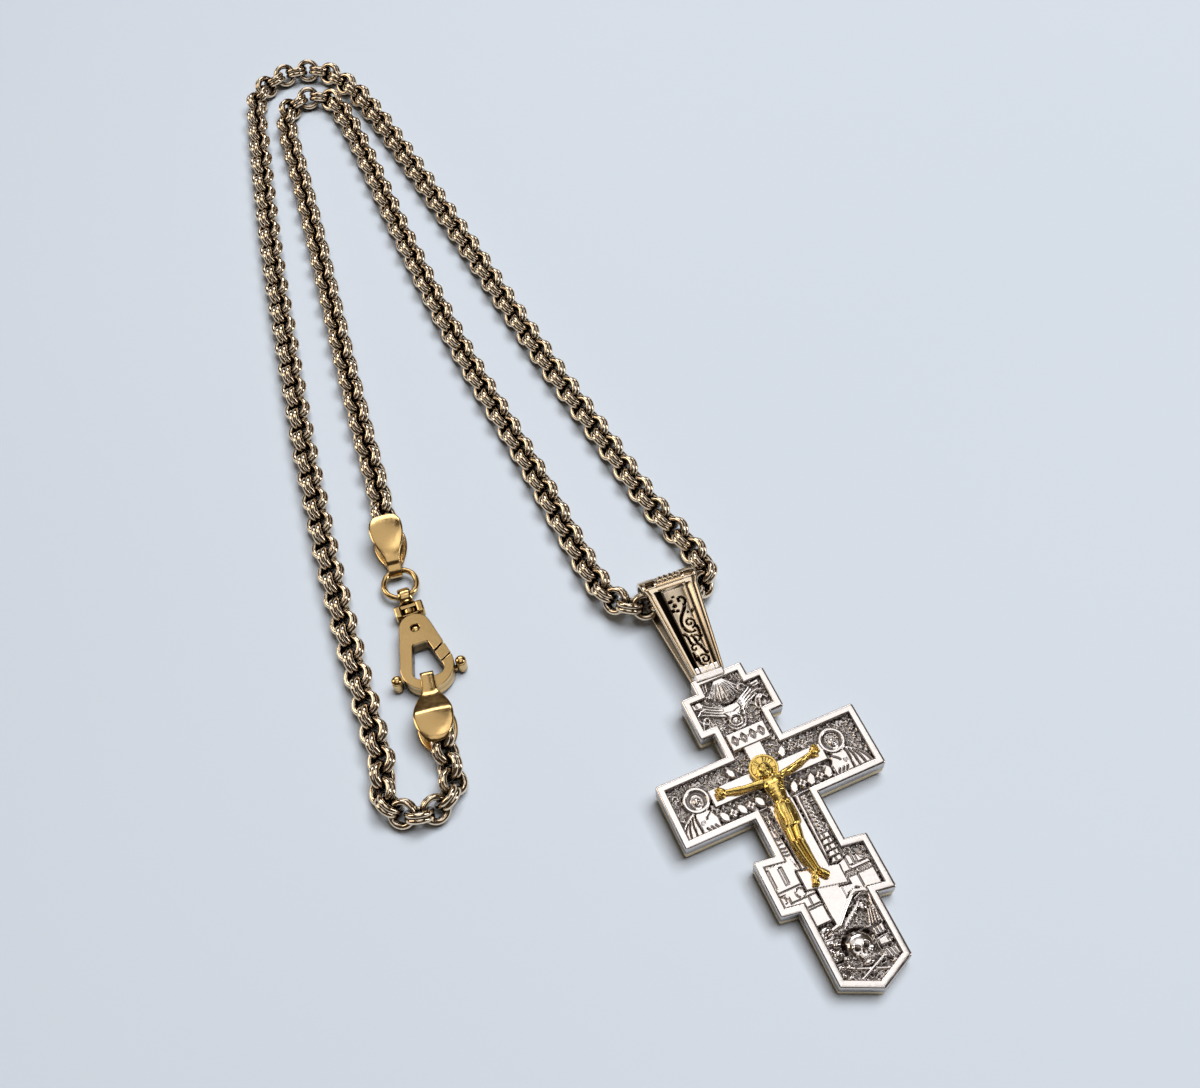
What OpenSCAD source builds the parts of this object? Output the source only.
// Crucifix pendant on a double-ring chain, lying flat, in mm with +Z up.
// The pendant lies near the right edge, head towards the middle, and its chain
// loops round to a clasp on the left. The lowest points rest on z = 0.

/* [Cross] */
// Thickness of the white casting, rim included
casting_t = 1.95; // [1.85:0.05:2]
// Thickness of the gold layer behind it
back_t = 1.17; // [1:0.05:1.2]
// Width of the raised rim
rim = 0.9; // [0.8:0.05:1]
// Depth of the fields below the rim
field_depth = 0.8; // [0.6:0.1:1]

/* [Bail] */
// Outer radius of the bail's arch
arch_r = 2.9; // [2.88:0.01:2.95]
// Wall of the bail
bail_wall = 0.7; // [0.65:0.01:0.72]

/* [Chain] */
// Centre radius of one ring
ring_r = 1.8; // [1.79:0.005:1.81]
// Wire radius of one ring
wire_r = 0.34; // [0.33:0.005:0.345]
// Distance of each of the two rings from the link's middle
ring_gap = 0.32; // [0.28:0.01:0.32]

/* [Clasp] */
// Radius of the pivot pin
pin_r = 0.62; // [0.5:0.01:0.63]
// Radius of the press knobs
knob_r = 0.8; // [0.6:0.05:0.85]

/* [Hidden] */
$fn = 48;
// where the pendant lies: middle of the head's top edge, turn and tilt
cross_at = [26.58, -48.43];
cross_turn = 19.43;
cross_tilt = 1.78;
foot_v = 48.2;
layer_gap = 0.08;
total_t = casting_t + layer_gap + back_t;
cross_lift = foot_v * sin(cross_tilt) + total_t * cos(cross_tilt);
plank_w = -0.15;
corpus_gap = 0.07;
// bail: middle of its base, turn, and the centre of its arch
bail_at = [25.68, -48.75];
bail_turn = 15.43;
arch_b = 15.1;
arch_z = 3.3;
inner_r = arch_r - bail_wall;
// clasp: pin centre and the turn of its axis
pin_at = [-16, -36.1];
clasp_turn = 15.01;
head_r = 2.4;
body_r = 3.9;
body_v = 6.6;
layer_mid = 1.8;
// the gap in each jaw: its ends are arcs about the pin
notch_r = 4.85;
seam_r = 6.94;
bore_gap = 0.04;
ring_z = 1.7;

// a bend of the chain's route: centre, radius, headings and a lift at each end
function bend(cx, cy, r, h0, h1, l0, l1, roll, steps) =
  let (side = h1 > h0 ? 1 : -1)
  [for (i = [0 : steps])
    let (k = i / steps, h = h0 + (h1 - h0) * k)
    [cx + side * r * sin(h), cy - side * r * cos(h), l0 + (l1 - l0) * k, roll]];

// route of the chain: x, y, lift above the table, roll of the even links
route = concat(
  [
    [-20.1, -19.7, 0.52, 45], [-20.8, -15.6, 0.52, 45], [-21.6, -11.4, 0.2, 45],
    [-22.4, -7.4, 0, 45], [-24.2, 0.5, 0, 45], [-26, 9, 0, 45],
    [-27.8, 17.5, 0, 45], [-29.6, 26.5, 0, 45], [-31.5, 36, 0, 45],
    [-33.5, 46, 0, 45], [-35.6, 56, 0, 45], [-37.8, 66, 0, 45],
    [-39.6, 74, 0, 45]
  ],
  bend(-35.1, 78.8, 5, 94, -58, 0, 0, 45, 6),
  [
    [-28.2, 75.4, 0, 45], [-25.9, 69, 0, 45], [-22.6, 59, 0, 45],
    [-19.2, 48.5, 0, 45], [-15.8, 38.5, 0, 45], [-12.3, 28.5, 0, 45],
    [-8.6, 18.5, 0, 45], [-4.7, 8.8, 0, 45], [-0.8, -0.4, 0, 45],
    [2.8, -9.2, 0, 45], [5.9, -17.4, 0, 45], [8.7, -24.6, 0, 45],
    [10.7, -29.6, 0.3, 45], [12.9, -33.7, 0.9, 45], [16.2, -35.9, 1.35, 45],
    [20.1, -35.6, 1.43, 45]
  ],
  bend(22.1, -30.1, 5.05, 12, 118, 1.43, 0.2, 45, 5),
  [
    [24.4, -23.6, 0, 45], [21.6, -19.2, 0, 45], [18.4, -13, 0, 45],
    [14.6, -4.9, 0, 45], [10.6, 3.5, 0, 45], [6.5, 12, 0, 45],
    [2.4, 21, 0, 45], [-1.8, 30.5, 0, 45], [-6.2, 40.5, 0, 45],
    [-10.7, 50.5, 0, 45], [-15.2, 60.5, 0, 45], [-19.6, 70, 0, 45],
    [-23.6, 78.2, 0, 45], [-27.6, 85, 0, 45]
  ],
  bend(-37.2, 82.8, 8.9, 147, 268, 0, 0, 40, 6),
  [
    [-45.5, 76, 0, 30], [-44.6, 69, 0, 24], [-43.5, 60, 0, 22],
    [-42.3, 51, 0, 22], [-41, 42, 0, 22], [-39.6, 33, 0, 22],
    [-38.1, 24.5, 0, 22], [-36.7, 16, 0, 22], [-35.3, 8, 0, 22],
    [-33.9, 0, 0, 22], [-32.3, -8, 0, 22], [-30.7, -16, 0, 22],
    [-29, -24, 0, 22], [-27.2, -31.5, 0, 22], [-25.4, -39, 0, 22],
    [-23.6, -46, 0, 22], [-21.9, -52.5, 0, 26], [-20.8, -57, 0, 30]
  ],
  bend(-15.9, -60, 4.95, 284, 452, 0, 0, 38, 6),
  [[-11.6, -57.4, 0.2, 45], [-12.3, -53.9, 0.5, 45], [-12.7, -51.4, 0.52, 45]]
);

// a smooth curve through four neighbouring points
function curve(a, b, c, d, t) = 0.5 * (2 * b + (c - a) * t
  + (2 * a - 5 * b + 4 * c - d) * t * t + (3 * b - a - 3 * c + d) * t * t * t);

last = len(route) - 1;
fine = 8;
path = concat(
  [for (i = [0 : last - 1], k = [0 : fine - 1])
    curve(route[max(i - 1, 0)], route[i], route[i + 1], route[min(i + 2, last)], k / fine)],
  [route[last]]
);

function flat(p) = [p[0], p[1], p[2]];
walk = [for (i = 0, s = 0; i < len(path);
  s = s + (i < len(path) - 1 ? norm(flat(path[i + 1]) - flat(path[i])) : 0), i = i + 1) s];
chain_len = walk[len(walk) - 1];

// height of a link's middle when it rests on the table at a roll q
function rest(q) = ring_r * max(abs(sin(q)), abs(cos(q)))
  + ring_gap * min(abs(sin(q)), abs(cos(q))) + wire_r + 0.01;

xs = [for (i = [0 : len(path) - 1]) [walk[i], path[i][0]]];
ys = [for (i = [0 : len(path) - 1]) [walk[i], path[i][1]]];
zs = [for (i = [0 : len(path) - 1]) [walk[i], path[i][2] + rest(path[i][3])]];
rolls = [for (i = [0 : len(path) - 1]) [walk[i], path[i][3]]];
function spot(s) = [lookup(s, xs), lookup(s, ys), lookup(s, zs)];

links = 249;
pitch = chain_len / (links - 1);
// the first link of the long run lies in the bail
split = 108;

// one link: two rings side by side, its run along X
module link() {
  rotate_extrude($fn = 32)
    union() {
      translate([ring_r, ring_gap]) circle(wire_r, $fn = 16);
      translate([ring_r, -ring_gap]) circle(wire_r, $fn = 16);
    }
}

module chain(from, to) {
  for (i = [from : to]) {
    here = spot(i * pitch);
    ahead = spot((i + 0.8) * pitch) - spot((i - 0.8) * pitch);
    rise = atan2(ahead[2], norm([ahead[0], ahead[1]]));
    turn = atan2(ahead[1], ahead[0]);
    translate(here)
      rotate([lookup(i * pitch, rolls) + (i % 2) * 90, -rise, turn])
      link();
  }
}

module chain_short() color([0.80, 0.66, 0.52]) chain(0, split - 1);

module chain_long() color([0.80, 0.66, 0.52]) chain(split, links - 1);

// plan of the cross, drawn in by m on every side
module cross_outline(m) {
  s = 0.16;
  n = m * 1.013;
  polygon([
    [-3.93 + m, -m], [3.93 - m, -m], [3.93 - m, -2.02 - m], [6.38 - m, -2.02 - m],
    [6.38 - m, -8.56 + m], [4.35 - m, -8.56 + m], [4.35 - m, -12.13 - m],
    [15 - m, -12.13 - m], [15 - m, -21.83 + m], [4.78 - m, -21.83 + m],
    [4.78 - m, -28.1 - n - s * (4.78 - m)], [7.77 - m, -28.1 - n - s * (7.77 - m)],
    [7.77 - m, -36.2 + n - s * (7.77 - m)], [5.19 - m, -36.2 + n - s * (5.19 - m)],
    [5.19 - m, -45.8 + 0.64 * m], [0, -foot_v + 1.1 * m], [m - 5.19, -45.8 + 0.64 * m],
    [m - 5.19, -36.2 + n + s * (5.19 - m)], [m - 7.77, -36.2 + n + s * (7.77 - m)],
    [m - 7.77, -28.1 - n + s * (7.77 - m)], [m - 4.78, -28.1 - n + s * (4.78 - m)],
    [m - 4.78, -21.83 + m], [m - 15, -21.83 + m], [m - 15, -12.13 - m],
    [m - 4.35, -12.13 - m], [m - 4.35, -8.56 + m], [m - 6.38, -8.56 + m],
    [m - 6.38, -2.02 - m], [m - 3.93, -2.02 - m]
  ]);
}

// puts a shape from the cross's own frame (front face at w = 0) onto the table
module on_cross()
  translate([cross_at[0], cross_at[1], cross_lift])
  rotate([0, 0, cross_turn])
  rotate([cross_tilt, 0, 0])
  children();

// a raised form standing on the field floor, up to w = top
module raised(top)
  translate([0, 0, -field_depth - 0.1])
  linear_extrude(field_depth + 0.1 + top)
  children();

module planks() {
  raised(plank_w) {
    translate([-1.6, -21.2]) square([2.6, 9.4]);
    translate([-2.3, -33]) square([3.5, 12]);
    translate([-1.8, -38.5]) square([3, 6]);
    translate([-8.8, -18.1]) square([17, 2.55]);
    polygon([[-3.1, -30.3], [-3.1, -33.1], [2.5, -34.4], [2.5, -31.5]]);
  }
  raised(-0.05) translate([-3.05, -11.95]) square([5.75, 2.65]);
}

// a haloed bust in one arm of the cross; the outer shoulder is on the given side
module bust(at_u, at_v, side) {
  translate([at_u, at_v, 0]) {
    raised(-0.35) difference() {
      circle(1.85);
      circle(1.4);
    }
    raised(-0.45) polygon([
      [-1.5 * side, -4.8], [-1.5 * side, -2.9], [-0.6 * side, -1.5], [0.6 * side, -1.5],
      [2.6 * side, -2.3], [3.2 * side, -4.8]
    ]);
    translate([0, -0.25, -0.95]) sphere(0.85);
  }
}

// rays, and a winged disc over the title board
module head_relief() {
  raised(-0.4) {
    translate([-0.5, -7.7]) circle(1);
    polygon([[-5.2, -4.6], [-5.1, -5.7], [-1.2, -8.3], [-0.7, -7.1]]);
    polygon([[4.5, -4], [4.9, -5.1], [0.5, -8.2], [0, -7.1]]);
  }
  raised(-0.5) {
    for (x = [-2, -0.7, 0.6, 1.9]) {
      translate([x, -2.3 - 0.2 * abs(x)]) circle(0.7);
    }
  }
}

module lower_relief() {
  // walls either side of the footrest
  raised(-0.3) {
    difference() {
      polygon([[-6.7, -29.2], [-3.5, -29.6], [-3.5, -35.4], [-6.7, -34.9]]);
      translate([-6.5, -31.4]) square([0.4, 2]);
      translate([-5.1, -31.4]) square([0.4, 2]);
    }
    difference() {
      polygon([[2.9, -29.6], [6.7, -30.3], [6.7, -36], [2.9, -35.3]]);
      translate([4.4, -32.4]) square([0.4, 1.3]);
    }
  }
  raised(-0.45) translate([2.1, -29]) square([0.9, 6.9]);
  // edge of the mound, rocks on the left and blocks on the right
  raised(-0.35) polygon([
    [4.1, -36.2], [2.4, -35.6], [1.8, -35.8], [-1.5, -38.7], [-2.6, -38.7], [-2.6, -39.2],
    [-1.3, -39.2], [2, -36.3], [4.1, -36.8]
  ]);
  raised(-0.45) {
    polygon([[-4, -37.6], [-2.9, -38], [-2.2, -41], [-2.4, -44.4], [-4, -44.8]]);
    translate([2.4, -45]) square([1.5, 3.5]);
    translate([-1.4, -45.8]) square([2.8, 0.7]);
  }
  raised(-0.45) translate([-0.1, -42.3]) circle(1.55);
  translate([-0.1, -42.2, -0.95]) sphere(0.9);
}

module casting() {
  difference() {
    translate([0, 0, -casting_t]) linear_extrude(casting_t) cross_outline(0);
    translate([0, 0, -field_depth]) linear_extrude(field_depth + 1) cross_outline(rim);
  }
  planks();
  bust(-10.7, -16.1, -1);
  bust(9.85, -15.9, 1);
  head_relief();
  lower_relief();
}

module on_bail()
  translate([bail_at[0], bail_at[1], 0])
  rotate([0, 0, bail_turn])
  children();

// stands a side profile, drawn along the bail and up, across the bail
module across(half)
  translate([-half, 0, 0])
  rotate([90, 0, 90])
  linear_extrude(2 * half)
  children();

module bail() {
  top_z = arch_z + arch_r;
  low_z = arch_z - arch_r;
  difference() {
    intersection() {
      across(6) union() {
        translate([arch_b, arch_z]) circle(arch_r, $fn = 64);
        polygon([
          [-0.6, 3.1], [-0.6, 4.98], [arch_b - 0.23, top_z - 0.01], [arch_b, top_z],
          [arch_b, low_z], [arch_b - 0.23, low_z + 0.01], [0.1, 1.6], [0.1, 3.1]
        ]);
      }
      translate([0, 0, -1]) linear_extrude(9)
        polygon([
          [-2.2, -1], [2.2, -1], [3.8, 14], [4.2, 15.2], [4.3, 18.2],
          [-4.3, 18.2], [-4.2, 15.2], [-3.8, 14]
        ]);
    }
    across(7) union() {
      translate([arch_b, arch_z]) circle(inner_r, $fn = 64);
      polygon([
        [1.3, 2.4], [1.3, 4.25], [arch_b - 0.2, arch_z + inner_r - 0.01],
        [arch_b, arch_z + inner_r], [arch_b, arch_z - inner_r],
        [arch_b - 0.2, arch_z - inner_r + 0.01]
      ]);
    }
    // panel between the rails
    translate([0, 0, 4.85]) rotate([4.6, 0, 0]) linear_extrude(3)
      polygon([[-1.35, 0.9], [1.35, 0.9], [2.9, 13.6], [-2.9, 13.6]]);
  }
}

module cross_and_bail() color([0.86, 0.85, 0.84]) {
  on_cross() casting();
  on_bail() bail();
}

module back_plate() color([0.85, 0.68, 0.33])
  on_cross()
  translate([0, 0, -total_t])
  linear_extrude(back_t)
  cross_outline(0.05);

// a limb from one round end to the other
module limb(a, b, ra, rb)
  hull() {
    translate(a) sphere(ra, $fn = 12);
    translate(b) sphere(rb, $fn = 12);
  }

module corpus() color([0.88, 0.70, 0.30])
  on_cross()
  translate([0, 0, plank_w + corpus_gap]) {
    translate([-0.35, -15.6, 0.02]) cylinder(r = 2.1, h = 0.33);
    limb([-0.5, -15.2, 1.3], [-0.7, -16.3, 1.25], 0.98, 0.78);
    limb([-0.65, -16.5, 1], [-0.5, -17.7, 0.8], 0.5, 0.6);
    hull() {
      translate([-1.75, -18, 0.75]) sphere(0.7, $fn = 12);
      translate([0.85, -17.8, 0.75]) sphere(0.7, $fn = 12);
      translate([-1.1, -21.3, 0.8]) sphere(0.72, $fn = 12);
      translate([0.2, -21.2, 0.8]) sphere(0.72, $fn = 12);
    }
    limb([-1.85, -17.9, 0.75], [-4.6, -17.5, 0.5], 0.5, 0.42);
    limb([-4.6, -17.5, 0.5], [-7.1, -16.95, 0.4], 0.42, 0.36);
    limb([-7.1, -16.95, 0.4], [-7.9, -16.8, 0.4], 0.36, 0.34);
    limb([0.95, -17.7, 0.75], [3.9, -17.3, 0.5], 0.5, 0.42);
    limb([3.9, -17.3, 0.5], [6.4, -16.75, 0.4], 0.42, 0.36);
    limb([6.4, -16.75, 0.4], [7.2, -16.6, 0.4], 0.36, 0.34);
    hull() {
      translate([-1.15, -21.6, 0.85]) sphere(0.82, $fn = 12);
      translate([0.25, -21.4, 0.85]) sphere(0.82, $fn = 12);
      translate([-1.3, -24.5, 0.95]) sphere(0.88, $fn = 12);
      translate([0.1, -24.3, 0.95]) sphere(0.82, $fn = 12);
    }
    limb([-1.2, -24.2, 1], [-1.4, -27.4, 1.15], 0.76, 0.6);
    limb([0, -24.1, 1], [-0.1, -27.5, 1.15], 0.76, 0.6);
    limb([-1.4, -27.4, 1.15], [-1.35, -31.3, 0.5], 0.6, 0.38);
    limb([-0.1, -27.5, 1.15], [0.1, -31.2, 0.5], 0.6, 0.38);
    limb([-1.35, -31.3, 0.5], [-1.6, -32.8, 0.4], 0.38, 0.34);
    limb([0.1, -31.2, 0.5], [0.3, -32.5, 0.4], 0.38, 0.34);
  }

// folded plate: origin at the jump ring's wire, y towards the chain
module end_cap_a() color([0.80, 0.64, 0.38])
  translate([-19.1, -25.25, 0])
  rotate([0, 0, 10.07])
  intersection() {
    across(4) difference() {
      union() {
        translate([0, ring_z]) circle(1.02);
        polygon([[0, 0.68], [0.6, 0.5], [2.4, 0.04], [8.5, 0.04], [8.5, 4.72], [3.2, 4.72], [0.6, 3], [0, 2.72]]);
      }
      translate([0, ring_z]) circle(0.68);
      polygon([[0, 1.3], [0.6, 1.25], [2.5, 0.42], [9, 0.42], [9, 4.35], [3.35, 4.35], [0.6, 2.3], [0, 2.1]]);
    }
    translate([0, 0, -1]) linear_extrude(8)
      polygon([
        [-1, -1.2], [1, -1.2], [1.05, 0.6], [2, 3.9], [2.55, 6.6], [1.9, 8.6],
        [-1.9, 8.6], [-2.55, 6.6], [-2, 3.9], [-1.05, 0.6]
      ]);
  }

module jump_ring() color([0.80, 0.66, 0.50])
  translate([-18.39, -27.57, ring_z])
  rotate_extrude($fn = 64)
  translate([2.53, 0])
  circle(0.375, $fn = 24);

// puts a shape from the clasp's frame (origin at the pin, y to the head) onto the table
module on_clasp()
  translate([pin_at[0], pin_at[1], 0])
  rotate([0, 0, clasp_turn])
  children();

module swivel_eye() color([0.80, 0.64, 0.42])
  on_clasp() {
    difference() {
      translate([-1, 6.22, ring_z]) rotate([0, 90, 0]) cylinder(r = 1.5, h = 2);
      translate([-2, 6.22, ring_z]) rotate([0, 90, 0]) cylinder(r = 0.9, h = 4);
    }
    translate([0, 5.2, ring_z]) rotate([90, 0, 0]) cylinder(r = 0.62, h = 2);
    translate([0, 3.8, ring_z]) rotate([90, 0, 0]) cylinder(r = 1, h = 0.75);
  }

module clasp_yoke() color([0.80, 0.64, 0.40])
  on_clasp() difference() {
    union() {
      translate([-2.2, 2.72, 0.66]) cube([4.4, 1.98, 2.08]);
      translate([-1.6, 0, 1.5]) cube([3.2, 2.8, 0.6]);
      translate([0, 0, 1.5]) cylinder(r = 1.6, h = 0.6);
    }
    translate([-1.15, 2.95, 0]) cube([2.3, 0.98, 4]);
    translate([0, 6, ring_z]) rotate([90, 0, 0]) cylinder(r = 0.7, h = 2.5);
    cylinder(r = pin_r + bore_gap, h = 4);
  }

module pivot_pin() color([0.82, 0.70, 0.48])
  on_clasp() {
    translate([0, 0, 0.8]) cylinder(r = pin_r, h = 2);
  }

// plan of a closed jaw, hole not yet cut
module jaw_plan() {
  circle(head_r);
  translate([0, -body_v]) circle(body_r, $fn = 96);
  polygon([[-2.337, 0.545], [2.337, 0.545], [3.798, -5.714], [-3.798, -5.714]]);
}

module jaw_hole() {
  for (side = [-1, 1]) {
    translate([0.7 * side, -3.15]) circle(0.55);
    translate([1.15 * side, -7.35]) circle(1.15);
  }
  translate([-0.7, -3.7]) square([1.4, 1.1]);
  polygon([[-1.25, -3.15], [1.25, -3.15], [2.3, -7], [2.3, -7.35], [-2.3, -7.35], [-2.3, -7]]);
  intersection() {
    circle(8.59, $fn = 96);
    polygon([[0, 0], [1.408, -9], [-1.408, -9]]);
  }
}

// part of the jaw between two radii about the pin, on one side of its axis
module jaw_band(r0, r1, side)
  intersection() {
    difference() {
      circle(r1, $fn = 96);
      circle(r0, $fn = 96);
    }
    translate([side > 0 ? 0.4 : -6.4, -8]) square([6, 8]);
  }

// a round knob with a groove and a bevelled cap at both ends
module press_knob()
  rotate_extrude($fn = 32)
  polygon([
    [0, -1.5], [knob_r - 0.35, -1.45], [knob_r, -1.2], [knob_r, -1], [knob_r - 0.1, -0.92],
    [knob_r - 0.1, -0.8], [knob_r, -0.72], [knob_r, 0.72], [knob_r - 0.1, 0.8],
    [knob_r - 0.1, 0.92], [knob_r, 1], [knob_r, 1.2], [knob_r - 0.35, 1.45], [0, 1.5]
  ]);

// one jaw seen from its own face: gap on the right, press knob on the left
module jaw() {
  thick = 1.21;
  seat_t = 0.38;
  difference() {
    union() {
      translate([0, 0, layer_mid + 0.04]) linear_extrude(thick) difference() {
        jaw_plan();
        jaw_band(notch_r, seam_r, 1);
      }
      // tooth that fills the other jaw's gap
      translate([0, 0, layer_mid - 0.04 - thick]) linear_extrude(2 * thick + 0.08)
        intersection() {
          jaw_plan();
          jaw_band(notch_r + 0.2, seam_r - 0.08, -1);
        }
      translate([-4.72, -7.8, layer_mid + 0.35]) cube([1.2, 0.7, 0.9]);
      translate([-4.76, -7.45, layer_mid]) press_knob();
    }
    translate([0, 0, -1]) linear_extrude(6) jaw_hole();
    // seat for the tongue
    translate([0, 0, layer_mid - 1]) cylinder(r = head_r + 0.1, h = 1.04 + seat_t - 0.04);
    translate([0, 0, -1]) cylinder(r = pin_r + bore_gap, h = 6);
  }
}

module jaw_upper() color([0.80, 0.65, 0.36]) on_clasp() jaw();

module jaw_lower() color([0.80, 0.65, 0.36])
  on_clasp()
  translate([0, 0, 2 * layer_mid])
  rotate([0, 180, 0])
  jaw();

// folded strap through the jaws' hole; y runs towards the chain
module end_cap_b() color([0.80, 0.64, 0.38])
  translate([-14.42, -43.54, 0])
  rotate([0, 0, 188.7])
  intersection() {
    across(4) difference() {
      polygon([
        [0, 0.04], [0, 3.56], [3, 3.56], [5.4, 4.72], [11.9, 4.72], [11.9, 4.35],
        [12, 4.35], [12, 0.42], [11.9, 0.42], [11.9, 0.04]
      ]);
      polygon([
        [0.42, 0.42], [0.42, 3.18], [3.2, 3.18], [5.6, 4.35], [13, 4.35], [13, 0.42]
      ]);
    }
    translate([0, 0, -1]) linear_extrude(8)
      polygon([
        [-0.98, -1], [0.98, -1], [1.1, 3.2], [2.3, 5.2], [2.85, 7.4], [2.5, 9.8], [1.6, 11.7],
        [-1.6, 11.7], [-2.5, 9.8], [-2.85, 7.4], [-2.3, 5.2], [-1.1, 3.2]
      ]);
  }

cross_and_bail();
back_plate();
corpus();
chain_short();
chain_long();
end_cap_a();
jump_ring();
swivel_eye();
clasp_yoke();
pivot_pin();
jaw_upper();
jaw_lower();
end_cap_b();
